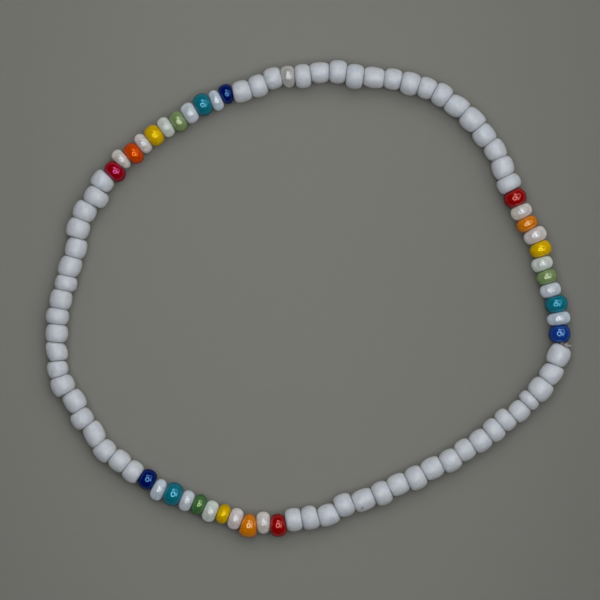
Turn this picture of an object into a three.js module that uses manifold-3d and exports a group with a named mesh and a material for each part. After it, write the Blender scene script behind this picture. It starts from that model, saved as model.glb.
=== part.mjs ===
// A stretch bracelet: ninety glass seed beads of about three millimetres on one elastic cord,
// lying flat as a loose ring. White runs of nineteen beads part three groups of eleven, in which
// six colours take turns with pearly spacers. Millimetres, +Z up, the surface it lies on at z = 0.
import * as THREE from 'three';
import { mergeVertices } from 'three/addons/utils/BufferGeometryUtils.js';
import Module from 'manifold-3d';

// The string's route, seen from above and run counter-clockwise from the far left: its distance from
// the middle every fifteen degrees.
const ROUTE_RADII = [
  32.8, 34.5, 33.9, 32.7, 31.2, 30.8, 29.3, 27.8, 27.7, 29.0, 31.3, 34.2,
  32.8, 31.2, 30.9, 32.3, 32.3, 30.7, 30.1, 29.2, 29.4, 30.0, 31.4, 31.8,
];
const ROUTE_MIDDLE = { x: -0.06, y: 0 };
const FIRST_BEAD_FROM = 27.7; // along the route, where the first bead begins

// Beads.
const SIDES = 12;
const BORE_RADIUS = 0.55;
const RIM_RADIUS = 0.85; // of the flat ring round each end of the bore
const NECK_RADIUS = 0.95; // where two beads of a fused run meet
const END_GAP = 0.06; // least room between the ends of two separate beads
const KNOT_ROOM = 0.2; // extra length of string taken up by the knot
const KNOT_WEDGE = 32; // degrees by which the knot parts the faces beside it

// Elastic cord.
const CORD_RADIUS = 0.225;
const CORD_SIDES = 8;
const KNOT_SEMI_AXES = { across: 0.36, along: 0.27, up: 0.34 };
const KNOT_SHIFT = 0.52; // outwards from the cord's line
const TAIL_LENGTH = 0.75;
const TAIL_TURNS = [-38, 8]; // degrees from straight outwards, one for each cut end

const RAINBOW = 'blue spacer turquoise spacer green spacer yellow spacer orange spacer red';

// The beads in stringing order. Lengths along the string, widths across it and shifts off the route
// (outwards positive) are in tenths of a millimetre. Cuts are the turn of the face after each bead off
// square to the route, and skews the lean of the few barrels that run askew between their faces, by
// number in the section: degrees, counter-clockwise positive. A run is one fused string of white beads.
const SECTIONS = [
  {
    name: 'bottom', colours: RAINBOW,
    lengths: '22 17 23 17 17 18 17 18 20 18 21',
    widths: '28 29 32 28 28 29 27 29 32 29 31',
    shifts: '-2 3 0 1 -1 1 -2 -1 4 -1 3',
    cuts: '1 1 1 0 0 0 -1 -6 7 -1 2',
  },
  {
    name: 'bottom', run: true,
    lengths: '22 22 26 24 29 23 26 24 27 25 23 25 21 20 23 16 26 25 29',
    widths: '31 32 29 31 29 32 29 32 29 30 29 30 32 31 28 29 32 29 30',
    shifts: '-2 -1 2 -3 0 1 -1 1 -1 1 -1 0 -1 -2 2 0 0 -1 1',
    cuts: '0 0 3 1 2 0 1 2 0 0 0 1 0 0 2 1 0 -5 -13',
    skews: { 18: -6 },
  },
  {
    name: 'right', colours: RAINBOW,
    lengths: '23 17 22 18 19 18 20 19 18 18 22',
    widths: '29 31 31 28 29 29 30 31 30 29 31',
    shifts: '1 2 2 -2 -2 -2 3 3 -1 -1 -1',
    cuts: '1 2 3 1 1 -3 2 4 1 -2 1',
  },
  {
    name: 'top', run: true,
    lengths: '20 26 24 25 28 27 22 22 24 23 28 23 23 25 21',
    widths: '33 30 29 30 31 29 31 29 31 28 28 33 31 28 32',
    shifts: '0 2 2 -1 0 0 1 0 -1 1 0 -2 2 0 -3',
    cuts: '2 -3 5 0 1 0 -1 -1 -2 -1 -1 0 0 2 -5',
    skews: { 2: -5, 5: 3, 6: 7 },
  },
  {
    name: 'top', colours: 'cream white white white',
    lengths: '18 22 22 24',
    widths: '29 29 30 29',
    shifts: '0 3 -1 -1',
    cuts: '0 0 1 -6',
  },
  {
    name: 'upper_left', colours: RAINBOW,
    lengths: '17 15 22 19 19 17 21 16 20 15 20',
    widths: '27 28 31 28 30 28 30 28 30 29 31',
    shifts: '2 -1 1 -1 -3 0 0 1 -2 3 -3',
    cuts: '5 1 0 1 1 0 1 0 2 6 -3',
  },
  {
    name: 'left', run: true,
    lengths: '22 23 24 25 26 26 20 25 21 24 25 21 24 28 23 29 23 24 22',
    widths: '31 33 31 31 29 30 30 30 31 30 28 28 32 29 30 28 30 29 30',
    shifts: '1 -3 3 3 -3 -2 -2 1 2 0 -1 1 1 -4 0 -1 3 0 0',
    cuts: '-1 0 1 3 1 0 0 0 0 -1 2 2 2 1 -1 -3 3 0 0',
    skews: { 6: -5, 11: 9, 16: -8 },
  },
];

// Colour and roughness of each kind of glass.
const GLASS = {
  white: ['#d3d6da', 0.45],
  spacer: ['#d9dce2', 0.15],
  cream: ['#d8d2c4', 0.25],
  blue: ['#0d2a78', 0.1],
  turquoise: ['#0f7390', 0.1],
  green: ['#7fa85c', 0.1],
  yellow: ['#d8b000', 0.1],
  orange: ['#e2740a', 0.1],
  red: ['#a80a20', 0.1],
};

const wasm = await Module();
wasm.setup();

// A closed curve through the route's points.
function stringRoute() {
  const step = (2 * Math.PI) / ROUTE_RADII.length;
  const points = ROUTE_RADII.map((radius, i) => {
    const angle = -Math.PI + i * step;
    const x = ROUTE_MIDDLE.x + radius * Math.cos(angle);
    const y = ROUTE_MIDDLE.y + radius * Math.sin(angle);
    return new THREE.Vector3(x, y, 0);
  });
  const route = new THREE.CatmullRomCurve3(points, true, 'catmullrom', 0.5);
  route.arcLengthDivisions = 4800;
  return route;
}

const numbers = (text) => text.split(' ').map(Number);

// The chart as one list of beads, in millimetres and degrees.
function chartedBeads() {
  return SECTIONS.flatMap((section) => {
    const lengths = numbers(section.lengths);
    const widths = numbers(section.widths);
    const shifts = numbers(section.shifts);
    const cuts = numbers(section.cuts);
    const colours = section.run ? [] : section.colours.split(' ');
    return lengths.map((length, i) => ({
      section,
      colour: colours[i] ?? 'white',
      pitch: length / 10,
      radius: widths[i] / 20,
      shift: shifts[i] / 10,
      cut: cuts[i],
      skew: section.skews?.[i + 1] ?? 0,
    }));
  });
}

// The knot lies between the last bead of the bottom run and the right group.
function knotFollows(beads, i) {
  return beads[i].section.name === 'bottom' && beads[(i + 1) % beads.length].section.name === 'right';
}

const headingOf = (direction) => THREE.MathUtils.radToDeg(Math.atan2(direction.y, direction.x));

// The turn from one heading to another, between half a turn back and half a turn on.
const turn = (from, to) => THREE.MathUtils.euclideanModulo(to - from + 180, 360) - 180;

// The level direction square to a heading, on the ring's outer side.
function outwardsFrom(heading) {
  const angle = THREE.MathUtils.degToRad(heading - 90);
  return new THREE.Vector3(Math.cos(angle), Math.sin(angle), 0);
}

// Lays the beads end to end along the route: first the faces between neighbours, then each bead
// between its two faces. A bead heads half-way between them, plus its skew, and rests on the surface.
function layBeads(beads, route) {
  const length = route.getLength();
  const stretch = (length - KNOT_ROOM) / beads.reduce((sum, bead) => sum + bead.pitch, 0);
  let along = FIRST_BEAD_FROM;
  beads.forEach((bead, i) => {
    bead.pitch *= stretch;
    bead.along = along + bead.pitch / 2;
    along += bead.pitch;
    const wedge = knotFollows(beads, i) ? { room: KNOT_ROOM, turn: KNOT_WEDGE / 2 } : { room: 0, turn: 0 };
    const heading = headingOf(route.getTangentAt(((along + wedge.room / 2) / length) % 1)) + bead.cut;
    bead.endFace = heading - wedge.turn;
    beads[(i + 1) % beads.length].startFace = heading + wedge.turn;
    along += wedge.room;
  });
  beads.forEach((bead) => {
    const t = (bead.along / length) % 1;
    const outwards = outwardsFrom(headingOf(route.getTangentAt(t)));
    bead.middle = route.getPointAt(t).addScaledVector(outwards, bead.shift).setZ(bead.radius);
    bead.heading = bead.startFace + turn(bead.startFace, bead.endFace) / 2 + bead.skew;
    const heading = THREE.MathUtils.degToRad(bead.heading);
    bead.axis = new THREE.Vector3(Math.cos(heading), Math.sin(heading), 0);
  });
  beads.forEach((bead, i) => {
    const before = roomBetween(beads.at(i - 1), bead);
    const after = roomBetween(bead, beads[(i + 1) % beads.length]);
    bead.length = bead.pitch - (before + after) / 2;
    bead.start = bead.middle.clone().addScaledVector(bead.axis, -bead.length / 2);
    bead.end = bead.middle.clone().addScaledVector(bead.axis, bead.length / 2);
  });
}

// Square ends need more room the more two neighbours turn to each other.
function roomBetween(a, b) {
  return END_GAP + RIM_RADIUS * Math.sin(THREE.MathUtils.degToRad(Math.abs(turn(a.heading, b.heading))));
}

// Where the cord passes from the bead before to this one.
function junction(beads, i) {
  const before = beads.at(i - 1);
  const point = before.end.clone().lerp(beads[i].start, 0.5);
  const heading = headingOf(before.axis.clone().add(beads[i].axis));
  return { point, heading };
}

// A ring of points round a level axis, with flats at its top, bottom and sides that touch the circle.
function ring(middle, heading, radius, sides) {
  const reach = radius / Math.cos(Math.PI / sides);
  const outwards = outwardsFrom(heading);
  return Array.from({ length: sides }, (_, k) => {
    const angle = ((k + 0.5) * 2 * Math.PI) / sides;
    const point = middle.clone().addScaledVector(outwards, reach * Math.cos(angle));
    point.z += reach * Math.sin(angle);
    return point;
  });
}

// A closed skin over rings of equal size, the last one joined to the first.
function loft(rings) {
  const sides = rings[0].length;
  const index = [];
  rings.forEach((_, i) => {
    const near = i * sides;
    const far = ((i + 1) % rings.length) * sides;
    for (let k = 0; k < sides; k += 1) {
      const next = (k + 1) % sides;
      index.push(near + k, far + k, near + next);
      index.push(near + next, far + k, far + next);
    }
  });
  const geometry = new THREE.BufferGeometry().setFromPoints(rings.flat());
  geometry.setIndex(index);
  return geometry;
}

// A single drilled bead: round in the middle, with a narrow flat ring at each end of its bore.
function beadGeometry(bead) {
  const half = bead.length / 2;
  const outline = [
    [RIM_RADIUS, -half],
    [0.89 * bead.radius, -0.6 * half],
    [bead.radius, 0],
    [0.89 * bead.radius, 0.6 * half],
    [RIM_RADIUS, half],
    [BORE_RADIUS, half],
    [BORE_RADIUS, -half],
    [RIM_RADIUS, -half],
  ];
  const reach = 1 / Math.cos(Math.PI / SIDES);
  const points = outline.map(([radius, x]) => new THREE.Vector2(radius * reach, x));
  const geometry = new THREE.LatheGeometry(points, SIDES, Math.PI / SIDES);
  geometry.rotateZ(-Math.PI / 2);
  return geometry;
}

// A run of white beads as one body: each bead is a barrel with rounded shoulders, neighbours meet
// in a neck, and one bore follows the cord through them all.
function runGeometry(beads, first, count) {
  const outside = [];
  const bore = [];
  for (let i = first; i < first + count; i += 1) {
    const bead = beads[i];
    const { heading, radius, length } = bead;
    const at = (share) => bead.middle.clone().addScaledVector(bead.axis, share * length);
    const joint = junction(beads, i);
    outside.push(
      i === first
        ? ring(bead.start, heading, RIM_RADIUS, SIDES)
        : ring(joint.point, joint.heading, NECK_RADIUS, SIDES),
      ring(at(-0.37), heading, 0.87 * radius, SIDES),
      ring(at(-0.2), heading, radius, SIDES),
      ring(at(0.2), heading, radius, SIDES),
      ring(at(0.37), heading, 0.87 * radius, SIDES),
    );
    bore.push(
      i === first
        ? ring(bead.start, heading, BORE_RADIUS, SIDES)
        : ring(joint.point, joint.heading, BORE_RADIUS, SIDES),
    );
  }
  const last = beads[first + count - 1];
  outside.push(ring(last.end, last.heading, RIM_RADIUS, SIDES));
  bore.push(ring(last.end, last.heading, BORE_RADIUS, SIDES));
  return loft([...outside, ...bore.reverse()]);
}

function toSolid(geometry) {
  const bare = new THREE.BufferGeometry();
  bare.setAttribute('position', geometry.getAttribute('position'));
  bare.setIndex(geometry.getIndex());
  const merged = mergeVertices(bare, 1e-4);
  return new wasm.Manifold(
    new wasm.Mesh({
      numProp: 3,
      vertProperties: Float32Array.from(merged.getAttribute('position').array),
      triVerts: Uint32Array.from(merged.getIndex().array),
    }),
  );
}

function toGeometry(solid) {
  const { vertProperties, triVerts } = solid.getMesh();
  const geometry = new THREE.BufferGeometry();
  geometry.setAttribute('position', new THREE.BufferAttribute(vertProperties, 3));
  geometry.setIndex(new THREE.BufferAttribute(triVerts, 1));
  return geometry;
}

// The cord as one closed loop through every bore, fused to its knot and the knot's two cut tails.
function cordGeometry(beads) {
  const joints = beads.map((_, i) => junction(beads, i));
  const loop = loft(joints.map(({ point, heading }) => ring(point, heading, CORD_RADIUS, CORD_SIDES)));
  const knotAt = joints[beads.findIndex((_, i) => knotFollows(beads, i)) + 1];
  const middle = knotAt.point.clone().addScaledVector(outwardsFrom(knotAt.heading), KNOT_SHIFT);
  const knot = new THREE.SphereGeometry(1, 10, 8);
  knot.scale(KNOT_SEMI_AXES.along, KNOT_SEMI_AXES.across, KNOT_SEMI_AXES.up);
  knot.rotateZ(THREE.MathUtils.degToRad(knotAt.heading));
  knot.translate(middle.x, middle.y, middle.z);
  const tails = TAIL_TURNS.map((degrees) => {
    const tail = new THREE.CylinderGeometry(CORD_RADIUS, CORD_RADIUS, TAIL_LENGTH, CORD_SIDES);
    tail.translate(0, -TAIL_LENGTH / 2, 0);
    tail.rotateZ(THREE.MathUtils.degToRad(knotAt.heading + degrees));
    tail.translate(middle.x, middle.y, middle.z);
    return tail;
  });
  const pieces = [loop, knot, ...tails].map(toSolid);
  return toGeometry(pieces.reduce((whole, piece) => whole.add(piece)));
}

function glass(colour) {
  const [color, roughness] = GLASS[colour];
  return new THREE.MeshStandardMaterial({ color, roughness, metalness: 0 });
}

function named(name, geometry, material) {
  const mesh = new THREE.Mesh(geometry, material);
  mesh.name = name;
  return mesh;
}

// Separate beads are numbered where a section has more than one of a colour.
function beadMesh(bead, beads) {
  const twins = beads.filter((other) => other.section === bead.section && other.colour === bead.colour);
  const number = twins.length > 1 ? `_${twins.indexOf(bead) + 1}` : '';
  const name = `${bead.section.name}_${bead.colour}_bead${number}`;
  const mesh = named(name, beadGeometry(bead), glass(bead.colour));
  mesh.position.copy(bead.middle);
  mesh.rotation.z = THREE.MathUtils.degToRad(bead.heading);
  return mesh;
}

const beads = chartedBeads();
layBeads(beads, stringRoute());

const bracelet = new THREE.Group();
SECTIONS.forEach((section) => {
  const own = beads.filter((bead) => bead.section === section);
  if (section.run) {
    const run = runGeometry(beads, beads.indexOf(own[0]), own.length);
    bracelet.add(named(`${section.name}_white_run`, run, glass('white')));
  } else {
    own.forEach((bead) => bracelet.add(beadMesh(bead, beads)));
  }
});
const cordMaterial = new THREE.MeshStandardMaterial({ color: '#d8cfd2', roughness: 0.35, metalness: 0 });
bracelet.add(named('elastic_cord', cordGeometry(beads), cordMaterial));

export default bracelet;
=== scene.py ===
"""A stretch bracelet of ninety glass seed beads, lying flat as a loose ring.

The CAD model gives each bead's place. This script remakes the beads as finished glass: smooth
barrels with softly rounded shoulders, fitted face to face along the string, and the knotted cord.
The chart and the way the beads are laid are those of the part's source. Lengths are in millimetres
until a mesh is made; Blender's objects are in metres, +Z up, in the model's own frame.
"""

import math
import random

import bpy
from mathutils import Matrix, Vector, noise


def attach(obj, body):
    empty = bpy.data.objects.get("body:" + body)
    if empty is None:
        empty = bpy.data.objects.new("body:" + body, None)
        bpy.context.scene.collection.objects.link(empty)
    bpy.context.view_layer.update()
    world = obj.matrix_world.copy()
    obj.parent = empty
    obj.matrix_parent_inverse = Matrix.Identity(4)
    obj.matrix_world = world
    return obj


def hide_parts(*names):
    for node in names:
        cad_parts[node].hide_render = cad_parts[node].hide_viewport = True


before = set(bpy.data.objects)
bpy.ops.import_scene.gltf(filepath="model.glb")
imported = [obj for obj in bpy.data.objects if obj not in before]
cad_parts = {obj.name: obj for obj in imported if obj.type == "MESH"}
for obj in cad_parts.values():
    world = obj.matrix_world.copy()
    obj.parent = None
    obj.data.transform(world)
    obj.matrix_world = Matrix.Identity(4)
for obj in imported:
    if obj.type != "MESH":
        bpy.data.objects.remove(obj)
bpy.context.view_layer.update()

MM = 0.001

# ---------------------------------------------------------------------------------------------
# The string's route and the bead chart
# ---------------------------------------------------------------------------------------------

# The route's distance from its middle every fifteen degrees, counter-clockwise from the far left.
ROUTE_RADII = [
    32.8, 34.5, 33.9, 32.7, 31.2, 30.8, 29.3, 27.8, 27.7, 29.0, 31.3, 34.2,
    32.8, 31.2, 30.9, 32.3, 32.3, 30.7, 30.1, 29.2, 29.4, 30.0, 31.4, 31.8,
]
ROUTE_MIDDLE = (-0.06, 0.0)
ROUTE_STEPS = 4800
HEADING_STEP = 1e-4  # share of the route either side of a place, for its heading
FIRST_BEAD_FROM = 27.7  # along the route, where the first bead begins

BORE_RADIUS = 0.55
FACE_GAP = 0.015  # between the faces of two neighbours
KNOT_ROOM = 0.2  # extra length of string taken up by the knot
KNOT_WEDGE = 32  # degrees by which the knot parts the faces beside it

RAINBOW = "blue spacer turquoise spacer green spacer yellow spacer orange spacer red"

# The beads in stringing order. Lengths along the string, widths across it and shifts off the route
# (outwards positive) are in tenths of a millimetre. Cuts are the turn of the face after each bead
# off square to the route, and skews the lean of the few barrels that run askew between their faces,
# by number in the section: degrees, counter-clockwise positive.
SECTIONS = [
    dict(
        name="bottom", colours=RAINBOW,
        lengths="22 17 23 17 17 18 17 18 20 18 21",
        widths="28 29 32 28 28 29 27 29 32 29 31",
        shifts="-2 3 0 1 -1 1 -2 -1 4 -1 3",
        cuts="1 1 1 0 0 0 -1 -6 7 -1 2",
    ),
    dict(
        name="bottom", run=True,
        lengths="22 22 26 24 29 23 26 24 27 25 23 25 21 20 23 16 26 25 29",
        widths="31 32 29 31 29 32 29 32 29 30 29 30 32 31 28 29 32 29 30",
        shifts="-2 -1 2 -3 0 1 -1 1 -1 1 -1 0 -1 -2 2 0 0 -1 1",
        cuts="0 0 3 1 2 0 1 2 0 0 0 1 0 0 2 1 0 -5 -13",
        skews={18: -6},
    ),
    dict(
        name="right", colours=RAINBOW,
        lengths="23 17 22 18 19 18 20 19 18 18 22",
        widths="29 31 31 28 29 29 30 31 30 29 31",
        shifts="1 2 2 -2 -2 -2 3 3 -1 -1 -1",
        cuts="1 2 3 1 1 -3 2 4 1 -2 1",
    ),
    dict(
        name="top", run=True,
        lengths="20 26 24 25 28 27 22 22 24 23 28 23 23 25 21",
        widths="33 30 29 30 31 29 31 29 31 28 28 33 31 28 32",
        shifts="0 2 2 -1 0 0 1 0 -1 1 0 -2 2 0 -3",
        cuts="2 -3 5 0 1 0 -1 -1 -2 -1 -1 0 0 2 -5",
        skews={2: -5, 5: 3, 6: 7},
    ),
    dict(
        name="top", colours="cream white white white",
        lengths="18 22 22 24",
        widths="29 29 30 29",
        shifts="0 3 -1 -1",
        cuts="0 0 1 -6",
    ),
    dict(
        name="upper_left", colours=RAINBOW,
        lengths="17 15 22 19 19 17 21 16 20 15 20",
        widths="27 28 31 28 30 28 30 28 30 29 31",
        shifts="2 -1 1 -1 -3 0 0 1 -2 3 -3",
        cuts="5 1 0 1 1 0 1 0 2 6 -3",
    ),
    dict(
        name="left", run=True,
        lengths="22 23 24 25 26 26 20 25 21 24 25 21 24 28 23 29 23 24 22",
        widths="31 33 31 31 29 30 30 30 31 30 28 28 32 29 30 28 30 29 30",
        shifts="1 -3 3 3 -3 -2 -2 1 2 0 -1 1 1 -4 0 -1 3 0 0",
        cuts="-1 0 1 3 1 0 0 0 0 -1 2 2 2 1 -1 -3 3 0 0",
        skews={6: -5, 11: 9, 16: -8},
    ),
]


def turn(start, end):
    """The turn from one heading to another, between half a turn back and half a turn on."""
    return (end - start + 180) % 360 - 180


def ahead(heading):
    """The level direction of a heading in degrees."""
    angle = math.radians(heading)
    return Vector((math.cos(angle), math.sin(angle), 0))


def outwards(heading):
    """The level direction square to a heading, on the ring's outer side."""
    return ahead(heading - 90)


class Route:
    """A closed Catmull-Rom curve through the route's points, walked by arc length."""

    def __init__(self):
        step = 2 * math.pi / len(ROUTE_RADII)
        self.points = [
            Vector((
                ROUTE_MIDDLE[0] + radius * math.cos(i * step - math.pi),
                ROUTE_MIDDLE[1] + radius * math.sin(i * step - math.pi),
                0,
            ))
            for i, radius in enumerate(ROUTE_RADII)
        ]
        places = [self.at(i / ROUTE_STEPS) for i in range(ROUTE_STEPS + 1)]
        self.lengths = [0.0]
        for a, b in zip(places, places[1:]):
            self.lengths.append(self.lengths[-1] + (b - a).length)
        self.length = self.lengths[-1]

    def at(self, t):
        """The point at share t of the way round, by points and not by length."""
        count = len(self.points)
        place = (t % 1) * count
        i = int(place)
        w = place - i
        before, start, end, after = (self.points[(i + k) % count] for k in (-1, 0, 1, 2))
        leave = (end - before) / 2
        arrive = (after - start) / 2
        rise = end - start
        square = 3 * rise - 2 * leave - arrive
        cube = leave + arrive - 2 * rise
        return start + leave * w + square * w**2 + cube * w**3

    def share(self, along):
        """The share of the way round at a length along the route."""
        along %= self.length
        low, high = 0, ROUTE_STEPS
        while high - low > 1:
            middle = (low + high) // 2
            if self.lengths[middle] <= along:
                low = middle
            else:
                high = middle
        part = (along - self.lengths[low]) / (self.lengths[high] - self.lengths[low])
        return (low + part) / ROUTE_STEPS

    def point(self, along):
        return self.at(self.share(along))

    def heading(self, along):
        """The way the route runs at a length along it, in degrees."""
        t = self.share(along)
        tangent = self.at(t + HEADING_STEP) - self.at(t - HEADING_STEP)
        return math.degrees(math.atan2(tangent.y, tangent.x))


class Bead:
    """One bead of the chart. Its faces are level-sided planes, each a point and a heading."""

    def __init__(self, section, number, colour, pitch, width, shift, cut, skew):
        self.section = section
        self.number = number
        self.colour = colour
        self.pitch = pitch
        self.radius = width / 2
        self.shift = shift
        self.cut = cut
        self.skew = skew

    def node(self, beads):
        """The CAD node that stands for this bead; twins in a section are numbered."""
        if self.section.get("run"):
            return f"{self.section['name']}_white_run"
        twins = [b for b in beads if b.section is self.section and b.colour == self.colour]
        number = f"_{twins.index(self) + 1}" if len(twins) > 1 else ""
        return f"{self.section['name']}_{self.colour}_bead{number}"

    def reach(self, face):
        """How far a face lies along the bead's axis from its middle: at the axis, and its rise for
        each millimetre outwards."""
        point, heading = face
        normal = ahead(heading)
        facing = self.axis.dot(normal)
        return (point - self.middle).dot(normal) / facing, -self.side.dot(normal) / facing

    def face_middle(self, face):
        return self.middle + self.axis * self.reach(face)[0]


def charted_beads():
    """The chart as one list of beads, in millimetres and degrees."""
    beads = []
    for section in SECTIONS:
        columns = [
            [int(number) for number in section[name].split()]
            for name in ("lengths", "widths", "shifts", "cuts")
        ]
        colours = section.get("colours", "").split() or ["white"] * len(columns[0])
        skews = section.get("skews", {})
        for number, row in enumerate(zip(*columns), start=1):
            length, width, shift, cut = row
            colour = colours[number - 1]
            skew = skews.get(number, 0)
            beads.append(Bead(
                section, number, colour, length / 10, width / 10, shift / 10, cut, skew,
            ))
    return beads


def knot_follows(beads, i):
    """The knot lies between the last bead of the bottom run and the right group."""
    after = beads[(i + 1) % len(beads)]
    return beads[i].section["name"] == "bottom" and after.section["name"] == "right"


def lay_beads(beads, route):
    """Lays the beads end to end along the route: first the faces between neighbours, then each bead
    between its two faces. A bead heads half-way between them, plus its skew, and rests on z = 0."""
    stretch = (route.length - KNOT_ROOM) / sum(bead.pitch for bead in beads)
    along = FIRST_BEAD_FROM
    for i, bead in enumerate(beads):
        bead.pitch *= stretch
        bead.along = along + bead.pitch / 2
        along += bead.pitch
        room, wedge = (KNOT_ROOM, KNOT_WEDGE / 2) if knot_follows(beads, i) else (0, 0)
        heading = route.heading(along + room / 2) + bead.cut
        middle = route.point(along + room / 2)
        back = ahead(heading) * (room + FACE_GAP) / 2
        bead.end_face = (middle - back, heading - wedge)
        beads[(i + 1) % len(beads)].start_face = (middle + back, heading + wedge)
        along += room
    for bead in beads:
        out = outwards(route.heading(bead.along))
        bead.middle = route.point(bead.along) + out * bead.shift
        bead.middle.z = bead.radius
        start, end = bead.start_face[1], bead.end_face[1]
        bead.heading = start + turn(start, end) / 2 + bead.skew
        bead.axis = ahead(bead.heading)
        bead.side = outwards(bead.heading)


# ---------------------------------------------------------------------------------------------
# Meshes
# ---------------------------------------------------------------------------------------------

AROUND = 56  # points round a bead
SHOULDER_STEPS = 28  # steps along a bead's outside
SPECK_BEAD = ("bottom", 5)  # the run and number of the white bead with a dark speck
SPECK_PLACE = (-0.58, 0.88)  # along the bead and outwards from its middle
SPECK_RADIUS = 0.26

# How full a kind of bead is: the power of its shoulders' curve along the axis, and the radius of
# the flat ring round its bore as a share of its own radius.
WHITE_FULLNESS = (2.2, 0.59)
PALE_FULLNESS = (2.1, 0.5)
LUSTRE_FULLNESS = (1.95, 0.46)
PALE_COLOURS = ("spacer", "cream")

LIP_WIDTH = 0.06  # of the rounded lip round the bore
SWELL = 1.02  # how much wider than its charted width a bead is at its lumps
OVAL = 0.012  # the most that a bead is out of round
LUMPS = ((0.9, 0.014), (2.6, 0.004))  # how closely the lumps of a size follow, and their height


def fullness(bead):
    if bead.colour == "white":
        return WHITE_FULLNESS
    return PALE_FULLNESS if bead.colour in PALE_COLOURS else LUSTRE_FULLNESS


def bead_profile(bead):
    """A closed outline of (share of the half length from -1 to 1, radius), outside first."""
    power, rim_share = fullness(bead)
    rim = rim_share * bead.radius
    outside = []
    for k in range(SHOULDER_STEPS + 1):
        angle = math.pi * k / SHOULDER_STEPS
        share = -math.copysign(abs(math.cos(angle)) ** (2 / power), math.cos(angle))
        outside.append((share, rim + (bead.radius - rim) * math.sin(angle)))
    lip = BORE_RADIUS + LIP_WIDTH
    far_end = [(0.995, 0.5 * (rim + lip)), (0.985, lip), (0.95, BORE_RADIUS + 0.012)]
    bore = [(0.85, BORE_RADIUS), (0.3, BORE_RADIUS), (-0.3, BORE_RADIUS), (-0.85, BORE_RADIUS)]
    near_end = [(-share, radius) for share, radius in reversed(far_end)]
    return outside + far_end + bore + near_end


def bead_points(bead, seed):
    """The bead's points in millimetres, ring by ring round its profile, with the small lumps and
    ovals of a bead that was cut and tumbled."""
    rng = random.Random(seed)
    oval = rng.uniform(0.0, OVAL)
    oval_at = rng.uniform(0, math.pi)
    lump_at = Vector((rng.uniform(-50, 50), rng.uniform(-50, 50), rng.uniform(-50, 50)))
    start, start_rise = bead.reach(bead.start_face)
    end, end_rise = bead.reach(bead.end_face)
    points, local = [], []
    for share, radius in bead_profile(bead):
        for k in range(AROUND):
            angle = 2 * math.pi * k / AROUND
            way = Vector((share * 0.8, math.cos(angle), math.sin(angle)))
            lump = sum(noise.noise(way * pace + lump_at) * height for pace, height in LUMPS)
            own = radius * SWELL
            if radius > BORE_RADIUS + 0.1:
                own *= 1 - oval * (1 + math.cos(2 * (angle - oval_at))) / 2 + lump
            out = own * math.cos(angle)
            up = own * math.sin(angle)
            near = start + start_rise * out
            far = end + end_rise * out
            forward = near + (far - near) * (1 + share) / 2
            points.append(bead.middle + bead.axis * forward + bead.side * out + Vector((0, 0, up)))
            local.append((forward, out, up))
    lowest = min(point.z for point in points)
    for point in points:
        point.z -= lowest
    return points, local


def ring_faces(rings, around, first=0):
    """Quads between neighbouring rings of a closed tube whose last ring joins its first."""
    faces = []
    for i in range(rings):
        near = first + i * around
        far = first + ((i + 1) % rings) * around
        for k in range(around):
            after = (k + 1) % around
            faces.append((near + k, near + after, far + after, far + k))
    return faces


def finished(name, points, faces, material, attributes=()):
    """A smooth mesh object from points in millimetres."""
    mesh = bpy.data.meshes.new(name)
    mesh.from_pydata([point * MM for point in points], [], faces)
    mesh.validate()
    mesh.polygons.foreach_set("use_smooth", [True] * len(mesh.polygons))
    for label, kind, values in attributes:
        layer = mesh.attributes.new(label, kind, "POINT")
        field = "vector" if kind == "FLOAT_VECTOR" else "value"
        layer.data.foreach_set(field, values)
    mesh.materials.append(material)
    mesh.update()
    piece = bpy.data.objects.new(name, mesh)
    bpy.context.scene.collection.objects.link(piece)
    return piece


def speck_on(bead, local):
    """How dark the one small flaw of the string is at each point: 1 in its middle, 0 round it."""
    if not bead.section.get("run") or (bead.section["name"], bead.number) != SPECK_BEAD:
        return [0.0] * len(local)
    darkness = []
    for forward, out, up in local:
        away = math.hypot(forward - SPECK_PLACE[0], out - SPECK_PLACE[1])
        darkness.append(max(0.0, 1 - away / SPECK_RADIUS) if up > 0 else 0.0)
    return darkness


def bead_piece(name, beads, numbers, material):
    """One piece of one or more beads. Each point keeps its place in its own bead and a number that
    tells the beads apart, for the glass to read."""
    points, faces, places, tones, specks = [], [], [], [], []
    for bead, number in zip(beads, numbers):
        own, local = bead_points(bead, 400 + number)
        rings = len(own) // AROUND
        faces += ring_faces(rings, AROUND, len(points))
        points += own
        places += [value * MM for place in local for value in place]
        tone = random.Random(900 + number).random()
        tones += [tone] * len(own)
        specks += speck_on(bead, local)
    return finished(name, points, faces, material, [
        ("bead_place", "FLOAT_VECTOR", places),
        ("bead_tone", "FLOAT", tones),
        ("bead_speck", "FLOAT", specks),
    ])


# ---------------------------------------------------------------------------------------------
# Cord and knot
# ---------------------------------------------------------------------------------------------

CORD_RADIUS = 0.225
CORD_AROUND = 12
KNOT_SHIFT = 0.52  # outwards from the cord's line
KNOT_SIZE = (0.4, 0.36, 0.34)  # along, across and up: half of each
KNOT_STRAND = 0.24
KNOT_STEPS = 72
TAIL_LENGTH = 0.75
TAIL_RADIUS = 0.09
TAIL_TURNS = (-38, 8)  # degrees from straight outwards
TAIL_STEPS = 8
TAIL_DROOP = 0.12


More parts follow.
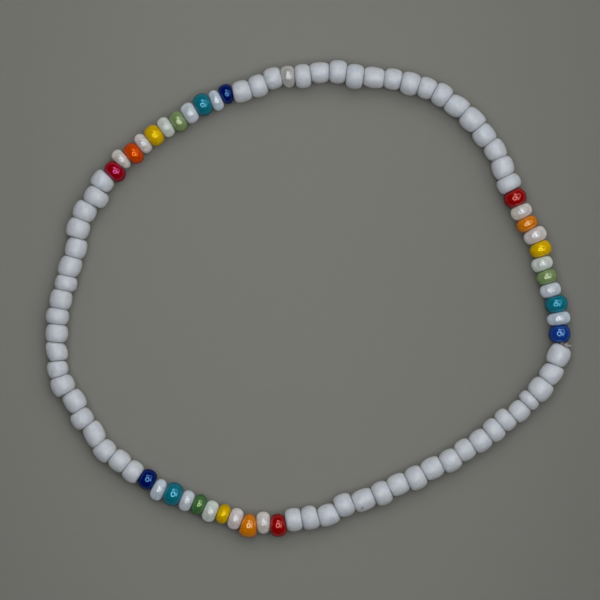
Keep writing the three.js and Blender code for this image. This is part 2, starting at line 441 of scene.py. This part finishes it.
def tube(path, radius, around, closed):
    """Points and faces of a round tube along a path; open ends are capped with a rounded cut."""
    count = len(path)
    rings = []
    up = Vector((0, 0, 1))
    for i, point in enumerate(path):
        before = path[(i - 1) % count] if closed or i else point
        after = path[(i + 1) % count] if closed or i < count - 1 else point
        way = (after - before).normalized()
        side = way.cross(up)
        side = side.normalized() if side.length > 1e-6 else Vector((1, 0, 0))
        top = side.cross(way)
        turns = [2 * math.pi * k / around for k in range(around)]
        rings.append([
            point + side * radius * math.cos(angle) + top * radius * math.sin(angle) for angle in turns
        ])
    points = [point for ring in rings for point in ring]
    faces = ring_faces(count, around)
    if not closed:
        faces = faces[: (count - 1) * around]
        faces.append(tuple(range(around))[::-1])
        faces.append(tuple(range((count - 1) * around, count * around)))
    return points, faces


def cord_path(beads):
    """Through the middle of every face and every bead."""
    path = []
    for i, bead in enumerate(beads):
        before = beads[i - 1]
        path.append((before.face_middle(before.end_face) + bead.face_middle(bead.start_face)) / 2)
        path.append(bead.middle.copy())
    return path


def knot_path(middle, heading):
    """A tight overhand knot as a trefoil, lying across the cord."""
    along, out = ahead(heading), outwards(heading)
    size = [half - KNOT_STRAND for half in KNOT_SIZE]
    path = []
    for k in range(KNOT_STEPS):
        t = 2 * math.pi * k / KNOT_STEPS
        a = (math.sin(t) + 2 * math.sin(2 * t)) / 3
        b = (math.cos(t) - 2 * math.cos(2 * t)) / 3
        c = -math.sin(3 * t)
        path.append(middle + along * a * size[0] + out * b * size[1] + Vector((0, 0, c * size[2])))
    return path


def tail_path(middle, heading, degrees):
    """A cut end that springs out of the knot with a slight droop."""
    way = outwards(heading + degrees)
    shares = [k / TAIL_STEPS for k in range(TAIL_STEPS + 1)]
    return [
        middle + way * TAIL_LENGTH * share - Vector((0, 0, TAIL_DROOP * share**2)) for share in shares
    ]


# ---------------------------------------------------------------------------------------------
# Materials
# ---------------------------------------------------------------------------------------------


class Nodes:
    """A short way to wire a node tree."""

    def __init__(self, tree):
        self.tree = tree
        tree.nodes.clear()

    def add(self, kind, inputs=(), out=0, **settings):
        """A new node: inputs by name or number, each a value or another node's output."""
        node = self.tree.nodes.new(kind)
        for name, value in settings.items():
            setattr(node, name, value)
        for name, value in dict(inputs).items():
            if isinstance(value, bpy.types.NodeSocket):
                self.tree.links.new(value, node.inputs[name])
            else:
                node.inputs[name].default_value = value
        return node.outputs[out] if node.outputs else None

    def math(self, operation, *values, clamp=False):
        return self.add("ShaderNodeMath", enumerate(values), operation=operation, use_clamp=clamp)

    def noise(self, vector, scale, detail=2.0, roughness=0.5):
        inputs = {"Vector": vector, "Scale": scale, "Detail": detail, "Roughness": roughness}
        return self.add("ShaderNodeTexNoise", inputs)

    def ramp(self, factor, *stops):
        """A colour ramp of (position, grey or colour) stops."""
        node = self.tree.nodes.new("ShaderNodeValToRGB")
        self.tree.links.new(factor, node.inputs[0])
        elements = node.color_ramp.elements
        while len(elements) < len(stops):
            elements.new(0.5)
        for element, (position, value) in zip(elements, stops):
            element.position = position
            element.color = (value,) * 3 + (1,) if isinstance(value, (int, float)) else (*value, 1)
        return node.outputs[0]

    def mix(self, factor, a, b, blend="MIX"):
        node = self.tree.nodes.new("ShaderNodeMix")
        node.data_type = "RGBA"
        node.blend_type = blend
        for socket, value in ((node.inputs[0], factor), (node.inputs[6], a), (node.inputs[7], b)):
            if isinstance(value, bpy.types.NodeSocket):
                self.tree.links.new(value, socket)
            elif isinstance(value, (int, float)):
                socket.default_value = value
            else:
                socket.default_value = (*value[:3], 1)
        return node.outputs[2]

    def scaled(self, value, low, high):
        """A 0 to 1 value mapped to low to high."""
        return self.math("MULTIPLY_ADD", value, high - low, low)

    def faded(self, value, low, high):
        """0 up to low, 1 from high on, and smooth between."""
        inputs = {"Value": value, "From Min": low, "From Max": high}
        return self.add("ShaderNodeMapRange", inputs, interpolation_type="SMOOTHSTEP")


def linear(red, green, blue):
    """A colour given as 0 to 255 in the usual display scale."""
    def one(value):
        value /= 255
        return value / 12.92 if value <= 0.04045 else ((value + 0.055) / 1.055) ** 2.4
    return (one(red), one(green), one(blue))


WHITE_LOW = linear(190, 197, 207)
WHITE_HIGH = linear(205, 212, 222)
WHITE_STREAK = linear(183, 189, 200)
WHITE_FLECK = linear(177, 184, 195)
WHITE_SPECK = linear(58, 66, 60)
WHITE_WARM = linear(202, 206, 212)
# Painted light: a warmer cast painted on the white beads' undersides, in place of the bluish overhead
# light on their tops.
WHITE_PAINTED_UNDERSIDE_CAST = (1.03, 1.0, 0.94)  # times the colour of the glass
ELASTIC_LOW = linear(146, 142, 148)
ELASTIC_HIGH = linear(172, 168, 173)
FLOOR_LOW = linear(123, 124, 120)
FLOOR_HIGH = linear(129, 130, 126)
FLOOR_GRAIN = linear(117, 118, 114)
# Painted light: the card is painted slightly darker away from its lightest place, where the light
# falls off. Each row: that place, the reach and the loss of tone at that reach, along x and along y.
FLOOR_LIGHT_FALLOFFS = [(-0.008, 0.03, 0.075), (0.015, 0.045, 0.04)]
FLOOR_DARKEST = 0.7

LUSTRE_IOR = 2.75
PALE_IOR = 3.1
PALE_DEPTH = 0.6  # share of the light that wanders under the skin of a pale bead

# The glasses: own colour and the tint of the lustre over it.
GLASSES = {
    "blue": ((0, 20, 100), (110, 170, 220)),
    "pale_blue": ((20, 60, 145), (150, 200, 240)),
    "turquoise": ((15, 115, 135), (120, 200, 240)),
    "green": ((125, 150, 100), (240, 255, 220)),
    "deep_green": ((65, 115, 65), (220, 240, 170)),
    "yellow": ((215, 175, 0), (225, 210, 60)),
    "orange": ((215, 125, 0), (235, 210, 180)),
    "red_orange": ((210, 70, 0), (250, 145, 65)),
    "red": ((150, 5, 10), (230, 150, 140)),
    "pink_red": ((150, 0, 15), (225, 120, 200)),
    "cream": ((190, 190, 190), (235, 245, 250)),
}
# The beads of a group that are visibly of another glass than the others of their colour.
ODD_GLASSES = {
    ("right", "blue"): "pale_blue",
    ("bottom", "green"): "deep_green",
    ("upper_left", "orange"): "red_orange",
    ("upper_left", "red"): "pink_red",
}
# The pearly spacers take a cast from their neighbours, the same in each group: from cool beside
# the blue bead to warm beside the red one.
PEARLS = [
    ((200, 215, 230), (215, 215, 220)),
    ((205, 215, 225), (205, 210, 220)),
    ((210, 220, 215), (200, 205, 215)),
    ((220, 215, 215), (195, 205, 225)),
    ((220, 215, 210), (190, 205, 230)),
]
PALE_SOFTNESS = 0.05


def new_material(name):
    material = bpy.data.materials.new(name)
    material.use_nodes = True
    return material, Nodes(material.node_tree)


def surface(nodes, colour, roughness, normal=None, **constants):
    """A Principled surface; the constants are set on its own sockets."""
    inputs = {"Base Color": colour, "Roughness": roughness}
    if normal is not None:
        inputs["Normal"] = normal
    for name, value in constants.items():
        inputs[name.replace("_", " ")] = value
    shader = nodes.add("ShaderNodeBsdfPrincipled", inputs)
    nodes.add("ShaderNodeOutputMaterial", {"Surface": shader})


def white_glass():
    """Opaque white glass with a satin skin under a faint gloss, a little mottled, and no two beads
    quite alike. Its undersides are painted slightly warmer as painted light, in place of the bluish
    light that falls on the tops."""
    material, nodes = new_material("white_glass")
    place = nodes.add("ShaderNodeAttribute", attribute_name="bead_place", out=1)
    tone = nodes.add("ShaderNodeAttribute", attribute_name="bead_tone", out=2)
    own = nodes.add("ShaderNodeVectorMath", {
        0: place,
        1: nodes.add("ShaderNodeCombineXYZ", {"X": tone, "Y": tone, "Z": tone}),
    }, operation="ADD")
    drawn = nodes.add("ShaderNodeVectorMath", {0: own, 1: (3.2, 0.8, 0.8)}, operation="MULTIPLY")
    cloud = nodes.noise(own, 1400, 3, 0.55)
    streak = nodes.noise(drawn, 1800, 3, 0.6)
    grain = nodes.noise(own, 9000, 2, 0.6)
    fleck = nodes.noise(own, 3000, 3, 0.7)
    colour = nodes.ramp(cloud, (0.3, WHITE_LOW), (0.7, WHITE_HIGH))
    colour = nodes.mix(nodes.scaled(streak, 0.0, 0.35), colour, WHITE_STREAK)
    colour = nodes.mix(nodes.scaled(tone, 0.0, 0.3), colour, WHITE_WARM)
    colour = nodes.mix(nodes.ramp(fleck, (0.42, 0), (0.66, 0.4)), colour, WHITE_FLECK)
    # Painted light: the lower part of each white bead is painted warmer, standing in for the bluish
    # light that falls only on the tops.
    up = nodes.add("ShaderNodeSeparateXYZ", {"Vector": place}, out=2)
    painted_cast_share = nodes.scaled(nodes.faded(up, 0.0004, 0.0013), 1, 0)
    painted_warm_cast = nodes.mix(1.0, colour, WHITE_PAINTED_UNDERSIDE_CAST, "MULTIPLY")
    colour = nodes.mix(painted_cast_share, colour, painted_warm_cast)
    speck = nodes.add("ShaderNodeAttribute", attribute_name="bead_speck", out=2)
    colour = nodes.mix(speck, colour, WHITE_SPECK)
    roughness = nodes.scaled(cloud, 0.28, 0.4)
    height = nodes.math("ADD", nodes.math("MULTIPLY", grain, 0.3), nodes.math("MULTIPLY", streak, 0.7))
    bump = nodes.add("ShaderNodeBump", {"Height": height, "Strength": 0.25, "Distance": 0.00002})
    surface(
        nodes, colour, roughness, bump,
        Specular_IOR_Level=0.25, Coat_Weight=0.4, Coat_Roughness=0.03, Coat_IOR=1.8,
        Subsurface_Weight=0.6, Subsurface_Scale=0.0008, Subsurface_Radius=(1, 1, 1),
    )
    return material


def sheen_and_shade_level(nodes, place, up, low):
    """A share that sets how strong the sheen is and, on the coloured beads, how free of painted shade
    the body is: it falls off towards the bead's ends and, below a height of low, towards its underside."""
    across = nodes.add("ShaderNodeVectorMath", {0: place, 1: (0, 1, 1)}, operation="MULTIPLY")
    radius = nodes.add("ShaderNodeVectorMath", {0: across}, operation="LENGTH", out=1)
    along_fade = nodes.faded(radius, 0.0009, 0.0013)
    height_fade = nodes.faded(up, low, low + 0.0007)
    return nodes.math("MULTIPLY", along_fade, height_fade)


def lustre_glass(name, colour, light, pale):
    """Glass with a glossy lustre: one tinted sheen over its own colour. The pale beads are softer,
    and light wanders further under their skin; their tops are painted darker and their lower sides
    lighter, as painted shade. The others have painted shade, a darker body, at their ends and
    underside, where their sheen is weaker too."""
    material, nodes = new_material(name)
    place = nodes.add("ShaderNodeAttribute", attribute_name="bead_place", out=1)
    up = nodes.add("ShaderNodeSeparateXYZ", {"Vector": place}, out=2)
    cloud = nodes.noise(place, 1300, 3, 0.5)
    grain = nodes.noise(place, 6500, 2, 0.5)
    level = sheen_and_shade_level(nodes, place, up, 0.0002 if pale else 0.0005)
    deep = [channel * 0.88 for channel in colour]
    bright = [min(channel * 1.1, 1) for channel in colour]
    body = nodes.ramp(cloud, (0.3, deep), (0.72, bright))
    # Painted shade: a pale bead's top is painted darker and its lower sides lighter, to even out the
    # light on it; the other beads are painted darker at their ends and underside.
    if pale:
        painted_shade = nodes.scaled(nodes.faded(up, 0.0009, 0.0014), 1.06, 0.84)
    else:
        painted_shade = nodes.scaled(level, 0.7, 1)
    body = nodes.mix(1.0, body, painted_shade, "MULTIPLY")
    softness = PALE_SOFTNESS if pale else 0
    roughness = nodes.scaled(cloud, 0.03 + softness, 0.07 + softness)
    bump = nodes.add("ShaderNodeBump", {"Height": grain, "Strength": 0.03, "Distance": 0.00002})
    surface(
        nodes, body, roughness, bump, IOR=PALE_IOR if pale else LUSTRE_IOR,
        Specular_IOR_Level=nodes.scaled(level, 0.01, 0.5), Specular_Tint=(*light, 1),
        Subsurface_Weight=PALE_DEPTH if pale else 0, Subsurface_Scale=0.0008,
        Subsurface_Radius=(1, 1, 1),
    )
    return material


def elastic_material():
    """Clear stretch cord, cloudy and greyish where it is knotted."""
    material, nodes = new_material("elastic")
    place = nodes.add("ShaderNodeTexCoord", out=3)
    cloud = nodes.noise(place, 2500, 3, 0.5)
    colour = nodes.ramp(cloud, (0.3, ELASTIC_LOW), (0.7, ELASTIC_HIGH))
    roughness = nodes.scaled(cloud, 0.22, 0.36)
    bump = nodes.add("ShaderNodeBump", {"Height": cloud, "Strength": 0.2, "Distance": 0.00003})
    surface(
        nodes, colour, roughness, bump,
        Subsurface_Weight=0.5, Subsurface_Scale=0.0004, Subsurface_Radius=(1, 1, 1),
    )
    return material


def floor_material():
    """Plain matt grey card, with a painted fall-off of light that leaves it lightest near its middle.
    """
    material, nodes = new_material("floor")
    place = nodes.add("ShaderNodeTexCoord", out=3)
    cloud = nodes.noise(place, 60, 4, 0.6)
    grain = nodes.noise(place, 1600, 3, 0.6)
    colour = nodes.mix(nodes.scaled(cloud, 0.35, 0.65), FLOOR_LOW, FLOOR_HIGH)
    colour = nodes.mix(nodes.scaled(grain, 0.0, 0.25), colour, FLOOR_GRAIN)
    # Painted light: the tone is lowered away from the card's lightest place, as the light falls off.
    tone = 1.0
    for axis, (middle, reach, loss) in enumerate(FLOOR_LIGHT_FALLOFFS):
        coordinate = nodes.add("ShaderNodeSeparateXYZ", {"Vector": place}, out=axis)
        away = nodes.scaled(coordinate, -middle / reach, (1 - middle) / reach)
        tone = nodes.math("SUBTRACT", tone, nodes.math("MULTIPLY", nodes.math("POWER", away, 2), loss))
    colour = nodes.mix(1.0, colour, nodes.math("MAXIMUM", tone, FLOOR_DARKEST), "MULTIPLY")
    bump = nodes.add("ShaderNodeBump", {"Height": grain, "Strength": 0.1, "Distance": 0.00005})
    surface(nodes, colour, 0.9, bump, Specular_IOR_Level=0.2)
    return material


def glass_for(bead, node, white):
    """The material of a single bead, or of a run of white ones."""
    if bead.colour == "white":
        return white
    if bead.colour == "spacer":
        colour, light = PEARLS[bead.number // 2 - 1]
    else:
        kind = ODD_GLASSES.get((bead.section["name"], bead.colour), bead.colour)
        colour, light = GLASSES[kind]
    pale = bead.colour in PALE_COLOURS
    return lustre_glass(node.replace("bead", "glass"), linear(*colour), linear(*light), pale)


# ---------------------------------------------------------------------------------------------
# Studio
# ---------------------------------------------------------------------------------------------

CAMERA_HEIGHT = 0.4  # above the beads' middle
FRAME_WIDTH = 0.080  # seen at the beads' middle
FRAME_MIDDLE = (-0.001095, -0.000123)
BEAD_MIDDLE = 0.0015
SENSOR = 36.0

DOME = (0.066, 0.066, 0.067)  # even light from all round
# Soft lobes of light: compass direction and angle from straight overhead in degrees, the lobe's
# half width in degrees, and its strength.
SCREENS = [
    dict(compass=0, tilt=46, width=20, strength=0.45),
    dict(compass=45, tilt=46, width=20, strength=0.65),
    dict(compass=90, tilt=46, width=20, strength=0.75),
    dict(compass=135, tilt=46, width=20, strength=0.75),
    dict(compass=250, tilt=58, width=22, strength=0.2),
]
LAMPS = [
    dict(compass=93, tilt=43, width=9, strength=4.2),
    dict(compass=341, tilt=36, width=8, strength=3.8),
    dict(compass=106, tilt=22, width=6, strength=0.9),
    dict(compass=36, tilt=36, width=15, strength=0.4),
]
# Ring lamps: the ring's middle as above, its radius and the width of its band, and its strength.
RINGS = [
    dict(compass=220, tilt=3, radius=19, width=4.8, strength=8.5),
    dict(compass=36, tilt=40, radius=20, width=6, strength=2.3),
]
LAMP_COLOUR = (1.0, 0.985, 0.96, 1)
# The panel that holds the lamps: its middle and its sides in metres, and how strong it is.
PANEL_MIDDLE = (0.16, 0.08, 0.3)
PANEL_SIDES = (0.64, 0.64)
PANEL_GAIN = 0.88


def sky_direction(compass, tilt):
    c, t = math.radians(compass), math.radians(tilt)
    return (math.sin(t) * math.cos(c), math.sin(t) * math.sin(c), math.cos(t))


def angle_from(nodes, way, light):
    """The angle in radians between a direction and a light's middle."""
    towards = sky_direction(light["compass"], light["tilt"])
    cosine = nodes.add("ShaderNodeVectorMath", {0: way, 1: towards}, operation="DOT_PRODUCT", out=1)
    return nodes.math("ARCCOSINE", nodes.math("MINIMUM", cosine, 0.999999))


def bell(nodes, angle, width, strength):
    """A soft band of light: full where the angle is nought, gone at about two widths."""
    share = nodes.math("DIVIDE", angle, math.radians(width))
    square = nodes.math("MULTIPLY", share, share)
    fall = nodes.math("POWER", math.e, nodes.math("MULTIPLY", square, -1.0))
    return nodes.math("MULTIPLY", fall, strength)


def light_from(nodes, way, lobes, rings=()):
    """The strength of the light that comes from a direction."""
    total = 0.0
    for lobe in lobes:
        off = angle_from(nodes, way, lobe)
        total = nodes.math("ADD", total, bell(nodes, off, lobe["width"], lobe["strength"]))
    for ring in rings:
        off = nodes.math("SUBTRACT", angle_from(nodes, way, ring), math.radians(ring["radius"]))
        total = nodes.math("ADD", total, bell(nodes, off, ring["width"] / 2, ring["strength"]))
    return total


def studio_world():
    """Soft light from a broad arc of matt screens, too dull to be seen in the glass."""
    world = bpy.data.worlds.new("studio")
    world.use_nodes = True
    nodes = Nodes(world.node_tree)
    way = nodes.add("ShaderNodeTexCoord", out=0)
    way = nodes.add("ShaderNodeVectorMath", {0: way}, operation="NORMALIZE")
    strength = light_from(nodes, way, SCREENS)
    arc = nodes.add("ShaderNodeBackground", {"Color": LAMP_COLOUR, "Strength": strength})
    dome = nodes.add("ShaderNodeBackground", {"Color": (*DOME, 1)})
    nodes.add("ShaderNodeOutputWorld", {"Surface": nodes.add("ShaderNodeAddShader", {0: dome, 1: arc})})
    world.cycles_visibility.glossy = False
    bpy.context.scene.world = world


def studio_lamps():
    """Two ring lamps and a few small ones in one panel overhead, which show as figures of eight."""
    data = bpy.data.lights.new("lamps", "AREA")
    data.shape = "RECTANGLE"
    data.size, data.size_y = PANEL_SIDES
    data.energy = math.pi * PANEL_SIDES[0] * PANEL_SIDES[1] * PANEL_GAIN
    data.use_nodes = True
    nodes = Nodes(data.node_tree)
    place = nodes.add("ShaderNodeNewGeometry", out=0)
    way = nodes.add("ShaderNodeVectorMath", {0: place}, operation="NORMALIZE")
    strength = light_from(nodes, way, LAMPS, RINGS)
    glow = nodes.add("ShaderNodeEmission", {"Color": LAMP_COLOUR, "Strength": strength})
    nodes.add("ShaderNodeOutputLight", {"Surface": glow})
    lamps = bpy.data.objects.new("lamps", data)
    lamps.location = PANEL_MIDDLE
    lamps.visible_camera = False
    bpy.context.scene.collection.objects.link(lamps)


def studio_floor():
    """A wide flat card under the beads."""
    mesh = bpy.data.meshes.new("floor")
    half = 3.0
    corners = [(-half, -half, 0), (half, -half, 0), (half, half, 0), (-half, half, 0)]
    mesh.from_pydata(corners, [], [(0, 1, 2, 3)])
    mesh.materials.append(floor_material())
    floor = bpy.data.objects.new("floor", mesh)
    bpy.context.scene.collection.objects.link(floor)


def studio_camera():
    """A camera straight above, which sees the whole ring."""
    data = bpy.data.cameras.new("camera")
    data.sensor_width = SENSOR
    data.lens = SENSOR * CAMERA_HEIGHT / FRAME_WIDTH
    data.clip_start = 0.01
    camera = bpy.data.objects.new("camera", data)
    camera.location = (*FRAME_MIDDLE, BEAD_MIDDLE + CAMERA_HEIGHT)
    bpy.context.scene.collection.objects.link(camera)
    bpy.context.scene.camera = camera


# ---------------------------------------------------------------------------------------------
# The bracelet
# ---------------------------------------------------------------------------------------------


def place(piece, node, slot):
    """Sets a piece in the place of its CAD node."""
    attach(piece, "root")
    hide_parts(node)


def slot_of(bead):
    return {"spacer": "pearl_glass"}.get(bead.colour, f"{bead.colour}_glass")


def make_beads(beads):
    """One piece for each single bead and each white run."""
    whole = {}
    for number, bead in enumerate(beads):
        whole.setdefault(bead.node(beads), []).append(number)
    white = white_glass()
    for node, numbers in whole.items():
        own = [beads[number] for number in numbers]
        piece = bead_piece(f"{node}_glass", own, numbers, glass_for(own[0], node, white))
        place(piece, node, slot_of(own[0]))


def make_cord(beads):
    """The cord through all beads, with its knot and tails, as one piece."""
    points, faces = tube(cord_path(beads), CORD_RADIUS, CORD_AROUND, closed=True)
    before = next(bead for i, bead in enumerate(beads) if knot_follows(beads, i))
    after = beads[(beads.index(before) + 1) % len(beads)]
    start = before.face_middle(before.end_face)
    end = after.face_middle(after.start_face)
    heading = before.end_face[1] + turn(before.end_face[1], after.start_face[1]) / 2
    middle = (start + end) / 2 + outwards(heading) * KNOT_SHIFT
    parts = [tube(knot_path(middle, heading), KNOT_STRAND, CORD_AROUND, closed=True)]
    for degrees in TAIL_TURNS:
        parts.append(tube(tail_path(middle, heading, degrees), TAIL_RADIUS, CORD_AROUND, closed=False))
    for own, own_faces in parts:
        faces += [tuple(i + len(points) for i in face) for face in own_faces]
        points += own
    piece = finished("elastic_cord_and_knot", points, faces, elastic_material())
    place(piece, "elastic_cord", "elastic")


string = charted_beads()
lay_beads(string, Route())
make_beads(string)
make_cord(string)
studio_world()
studio_lamps()
studio_floor()
studio_camera()

scene = bpy.context.scene
scene.view_settings.view_transform = "Standard"
scene.view_settings.look = "None"
